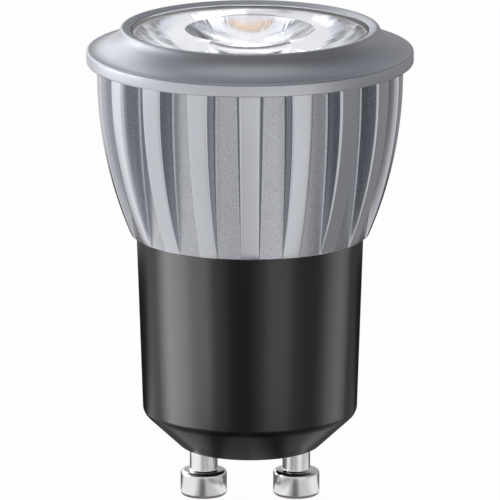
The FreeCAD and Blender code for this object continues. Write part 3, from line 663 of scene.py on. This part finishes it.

# LED: a round field of warm phosphor gel over the chips, with a faint painted glow though the LED is not lit.
# It is poured inside a bead of white silicone on the board.
field_outline = [(0, 39.2), (3.5, 39.2), (3.5, 39.65), (0, 39.6)]
bead_outline = [(3.5, 39.2), (4.05, 39.2), (4.05, 39.8, 0.24), (3.5, 39.8, 0.24), (3.5, 39.2)]
phosphor = turn_on_lathe("phosphor_field", field_outline, SMALL_STEPS)
bead = turn_on_lathe("silicone_bead", bead_outline, SMALL_STEPS)
gel = new_finish("warm_phosphor_gel")
where = gel.place()
dust = gel.grain(where, 4000.0, 3.0)
swirl = gel.grain(where, 500.0)
wear(phosphor, gel.skin({
    "Base Color": gel.blend(0.3 * dust + 0.7 * swirl, (0.93, 0.60, 0.36, 1), (0.97, 0.72, 0.50, 1)),
    # Painted glow: the unlit phosphor gets a faint warm emission.
    "Emission Color": (1.0, 0.74, 0.54, 1),
    "Emission Strength": 0.35,
    "Roughness": 0.35 + 0.15 * dust,
    "Normal": gel.ripple(dust, 0.15, 0.00003),
}))
settle(phosphor, "warm_phosphor", "led_phosphor")
silicone = new_finish("white_silicone")
drawn_bead = silicone.grain(silicone.place(), 1600.0)
wear(bead, silicone.skin({
    "Base Color": silicone.blend(drawn_bead, (0.78, 0.77, 0.74, 1), (0.86, 0.86, 0.84, 1)),
    "Roughness": 0.40 + 0.15 * drawn_bead,
    "Normal": silicone.ripple(drawn_bead, 0.15, 0.00003),
}))
settle(bead, "white_silicone", "led_dam")

# Lens: a collimator moulded in clear optical silicone, dished in front, with a swelling side wall and a pocket
# over the LED. Its side wall mirrors, and its flange is trapped between the heat sink's collar and the ring.
SILVERED_R, SILVERED_Z = 4.7, 49.35
lens = turn_on_lathe("collimator", [
    (0, 49.2), (6.95, 51.4, 0, 0.564), (12.65, 51.4, 0.08), (12.65, 50.6), (13.3, 50.6, 0.08), (13.3, 49.4, 0.08),
    (12.15, 49.4), (5.1, 39.3, 0, -0.75), (4.35, 39.3), (4.35, 43.9), (0, 42.6, 0, -0.331),
])
clear = new_finish("clear_optical_silicone")
spot = clear.spot()
polish = clear.grain(clear.place(), 300.0)
from_axis = radius_at(spot.tap("X"), spot.tap("Y"))
silvered = (from_axis > SILVERED_R * MM) * (spot.tap("Z") < SILVERED_Z * MM)
around = spot.maths("ARCTAN2", spot.tap("X"), spot.tap("Y"))
rays = clear.lines(around * 9.0)
wear(lens, clear.skin({
    "Base Color": (0.98, 0.985, 1.0, 1),
    "Metallic": silvered,
    "Roughness": 0.02 + 0.03 * polish + 0.05 * silvered,
    "IOR": 1.41,
    "Transmission Weight": 1.0,
    "Normal": clear.ripple(0.03 * polish + silvered * rays, 0.5, 0.00006),
}))
settle(lens, "clear_lens", "lens")

# Front ring: turned aluminium with the same silver skin, pressed over the collar. A plain band runs round the
# outside, and a hollow cove rises to the rounded rim that holds the lens down.
RING_STEPS = 192
ring = turn_on_lathe("ring", [
    (13.4, 47.82), (17.5, 47.82, 0.25), (17.5, 49.24, 0.25), (17.2, 49.24), (13.95, 51.3, 0, -0.558),
    (13.785, 51.65, 0.14), (13.485, 51.65, 0.12), (12.75, 51.4, 0.05), (12.75, 50.65), (13.4, 50.65),
    (13.4, 47.82),
], RING_STEPS)
turned_silver = new_finish("turned_silver")
blast = turned_silver.grain(turned_silver.place(), 6500.0, 3.0)
spot = turned_silver.spot()
turning = radius_at(spot.tap("X"), spot.tap("Y")) + spot.tap("Z")
lathe_lines = turned_silver.lines(turning * 5000.0)
wear(ring, turned_silver.skin({
    "Base Color": turned_silver.blend(blast, (0.425, 0.435, 0.475, 1), (0.545, 0.555, 0.595, 1)),
    "Metallic": 1.0,
    "Roughness": 0.38 + 0.08 * blast,
    "Normal": turned_silver.ripple(blast + 0.4 * lathe_lines, 0.15, 0.00003),
}))
settle(ring, "ring_aluminium", "front_ring")

# Studio: a white paper table under soft lamps. In reflections alone the table shows painted light and shade,
# set by bearing round the bulb: painted pools of light, painted bright and dark cards, painted shade near the
# bulb and a painted contact shadow round each pin. Two key lamps leave the black base out, and strip lamps below
# the table's level light the base alone.
# The first radius is the painted contact shadow round each pin; inside the pin zone the table's painted shade is
# laid out round each pin.
CONTACT_SHADOW_R, PIN_ZONE_R = 0.0031, 0.026
NEAR_R, FAR_R = 0.11, 0.15
PLAIN_WHITE = 0.975
DIM_SIDE, PALE_SIDE = -0.5, 0.7
LOW_WALL, UPPER_WALL = 0.16, 0.34
BULB_MIDDLE = Vector((0, 0, 0.028))
STRIP_REACH, STRIP_Z, STRIP_HEIGHT = 0.486, -0.10, 0.22
EYE, AIM = Vector((0, -953.1, 259.2)) * MM, Vector((0, 0, 27.13)) * MM
SENSOR, FOCAL_LENGTH = 36.0, 657.7
BOUNCES = 32
bpy.ops.object.select_all(action="DESELECT")
bpy.ops.mesh.primitive_plane_add(size=2.0)
table = bpy.context.object
table.name = "table"

# The table's painted light and shade by bearing, near the bulb, far from it and round each pin: levels over 1 are
# painted pools of light, low levels painted shade.
near_painted_light = (
    (0.135, 0.02), (0.165, 1.3), (0.18, 1.7), (0.19, 1.6), (0.23, 1.1), (0.30, 1.1), (0.40, 1.05),
    (0.435, 0.88), (0.47, 0.8), (0.51, 0.92), (0.55, 1.12), (0.625, 1.14), (0.66, 0.38), (0.82, 0.38),
    (0.86, 0.45), (0.89, 0.03))
far_painted_light = (
    (0.10, 0.85), (0.135, 0.9), (0.155, 1.5), (0.19, 1.5), (0.23, 1.1), (0.30, 1.1), (0.40, 1.08),
    (0.435, 0.95), (0.47, 0.92), (0.51, 1.02), (0.55, 1.1), (0.625, 1.1), (0.66, 0.4), (0.82, 0.4),
    (0.86, 0.45), (0.92, 0.36))
pin_painted_light = (
    (0.165, 0.15), (0.205, 0.95), (0.40, 0.95), (0.44, 0.5), (0.475, 0.16), (0.505, 0.2), (0.54, 0.62),
    (0.63, 0.7), (0.70, 0.95), (0.80, 0.95), (0.84, 0.15))
wall_cards = (
    (0.10, 0.6), (0.19, 0.8), (0.25, 0.9), (0.40, 1.0), (0.60, 1.0), (0.66, 0.6), (0.82, 0.65), (0.92, 0.45))


def ring_of_cards(finish, x, y, levels):
    """Brightness by bearing, as painted table shade or room walls: the front is at 0.5, the left below it and the
    right above.
    """
    bearing = x.maths("ARCTAN2", x, 0 - y) * (0.5 / math.pi) + 0.5
    stops = [(share, (level, level, level, 1)) for share, level in levels]
    return finish.add("ShaderNodeValToRGB", {"stops": stops}, {"Fac": bearing})


def fade(finish, value, low, high):
    """Share that grows smoothly from 0 at the low value to 1 at the high one."""
    return finish.add("ShaderNodeMapRange", {"interpolation_type": "SMOOTHSTEP"}, {
        "Value": value, "From Min": low, "From Max": high})


paper = new_finish("white_paper")
path = paper.add("ShaderNodeLightPath", {}, {}, "Is Camera Ray")
mirrored = path.tap("Is Glossy Ray")
fibres = paper.grain(paper.place(), 60.0)
lit_paper = paper.blend(fibres, (0.80, 0.80, 0.80, 1), (0.84, 0.84, 0.84, 1))
spot = paper.spot()
across, along = spot.tap("X"), spot.tap("Y")
from_pin = across - PIN_X * MM * across.maths("SIGN", across)
from_axis = radius_at(across, along)
# Painted light and shade of the table, from near the bulb to far from it, seen only in reflections.
cards = paper.blend(
    fade(paper, from_axis, NEAR_R, FAR_R),
    ring_of_cards(paper, across, along, near_painted_light),
    ring_of_cards(paper, across, along, far_painted_light))
# Painted contact shadow: the table right round each pin is a flat grey in reflections.
contact = radius_at(from_pin, along) < CONTACT_SHADOW_R
by_pin = paper.blend(contact, ring_of_cards(paper, from_pin, along, pin_painted_light), (0.2, 0.2, 0.2, 1))
cards = paper.blend(from_axis < PIN_ZONE_R, cards, by_pin)
seen = path.maths("MAXIMUM", path, path.tap("Is Transmission Ray")) * PLAIN_WHITE + mirrored
surface = paper.add("ShaderNodeMixShader", {}, {
    0: seen,
    1: paper.add("ShaderNodeBsdfDiffuse", {}, {"Color": lit_paper}),
    2: paper.add("ShaderNodeEmission", {}, {"Color": paper.blend(mirrored, (1, 1, 1, 1), cards)}),
})
paper.add("ShaderNodeOutputMaterial", {}, {"Surface": surface})
wear(table, paper.owner)

room = Finish(bpy.data.worlds.new("studio_room"))
bpy.context.scene.world = room.owner
path = room.add("ShaderNodeLightPath", {}, {}, "Is Camera Ray")
toward = room.add("ShaderNodeSeparateXYZ", {}, {"Vector": room.add("ShaderNodeTexCoord", {}, {}, "Generated")})
paleness = fade(room, toward.tap("Y") - 0.4 * toward.tap("X"), DIM_SIDE, PALE_SIDE)
upper_walls = room.blend(paleness, (0.15, 0.155, 0.165, 1), (0.38, 0.39, 0.41, 1))
low_walls = ring_of_cards(room, toward.tap("X"), toward.tap("Y"), wall_cards)
walls = room.blend(fade(room, toward.tap("Z"), LOW_WALL, UPPER_WALL), low_walls, upper_walls)
seen = path.maths("MAXIMUM", path, path.tap("Is Transmission Ray"))
backdrop = room.add("ShaderNodeBackground", {}, {"Color": room.blend(seen, walls, (1, 1, 1, 1))})
room.add("ShaderNodeOutputWorld", {}, {"Surface": backdrop})


def hang_softbox(name, place, width, height, brightness):
    """Flat soft lamp at a place in metres, facing the bulb; a brightness of 1 looks white."""
    bpy.ops.object.light_add(type="AREA", location=place)
    softbox = bpy.context.object
    softbox.name = name
    softbox.rotation_euler = (BULB_MIDDLE - Vector(place)).to_track_quat("-Z", "Y").to_euler()
    softbox.data.shape = "RECTANGLE"
    softbox.data.size = width
    softbox.data.size_y = height
    softbox.data.energy = brightness * math.pi * width * height
    softbox.visible_camera = False
    return softbox


def hang_strip(name, first, last, brightness):
    """Low strip lamp that fills the bearings between two, in degrees from the front; right is positive."""
    middle, half = math.radians((first + last) / 2), math.radians((last - first) / 2)
    place = (STRIP_REACH * math.sin(middle), -STRIP_REACH * math.cos(middle), STRIP_Z)
    return hang_softbox("strip_" + name, place, 2 * STRIP_REACH * math.tan(half), STRIP_HEIGHT, brightness)


keys = [
    hang_softbox("softbox_left", (-0.54, 0.10, 0.12), 0.50, 0.26, 2.7),
    hang_softbox("softbox_back", (-0.30, 0.46, 0.29), 0.50, 0.35, 1.4),
]
hang_softbox("softbox_top", (0.0, -0.05, 0.65), 0.50, 0.50, 0.5)
strips = [
    hang_strip("left_wide", -108, -41, 4.6),
    hang_strip("left_middle", -101, -43, 5.0),
    hang_strip("left_core", -96, -66, 5.2),
    hang_strip("left_fill", -46, -23, 2.3),
    hang_strip("front_wide", 5, 50, 1.5),
    hang_strip("front_core", 16, 42, 3.4),
    hang_strip("right_fill", 50.5, 73.5, 1.2),
    hang_strip("right_wide", 76, 120, 2.4),
    hang_strip("right_core", 86, 110, 2.4),
]


def light_list(name, piece, link_state):
    """List that lets a lamp work on this one piece, or on all but it."""
    pieces = bpy.data.collections.new(name)
    bpy.context.scene.collection.children.link(pieces)
    pieces.objects.link(piece)
    pieces.collection_objects[0].light_linking.link_state = link_state
    return pieces


base_alone = light_list("lit_by_strips", base, "INCLUDE")
all_but_table = light_list("lets_strips_through", table, "EXCLUDE")
all_but_base = light_list("shaded_from_key", base, "EXCLUDE")
for strip in strips:
    strip.light_linking.receiver_collection = base_alone
    strip.light_linking.blocker_collection = all_but_table
for key in keys:
    key.light_linking.receiver_collection = all_but_base

bpy.ops.object.camera_add(location=EYE)
camera = bpy.context.object
camera.rotation_euler = (AIM - EYE).to_track_quat("-Z", "Y").to_euler()
camera.data.sensor_width = SENSOR
camera.data.lens = FOCAL_LENGTH
camera.data.clip_start = 0.01
bpy.context.scene.camera = camera
bpy.context.scene.view_settings.view_transform = "Standard"
bpy.context.scene.cycles.max_bounces = BOUNCES
bpy.context.scene.cycles.glossy_bounces = BOUNCES
bpy.context.scene.cycles.transmission_bounces = BOUNCES
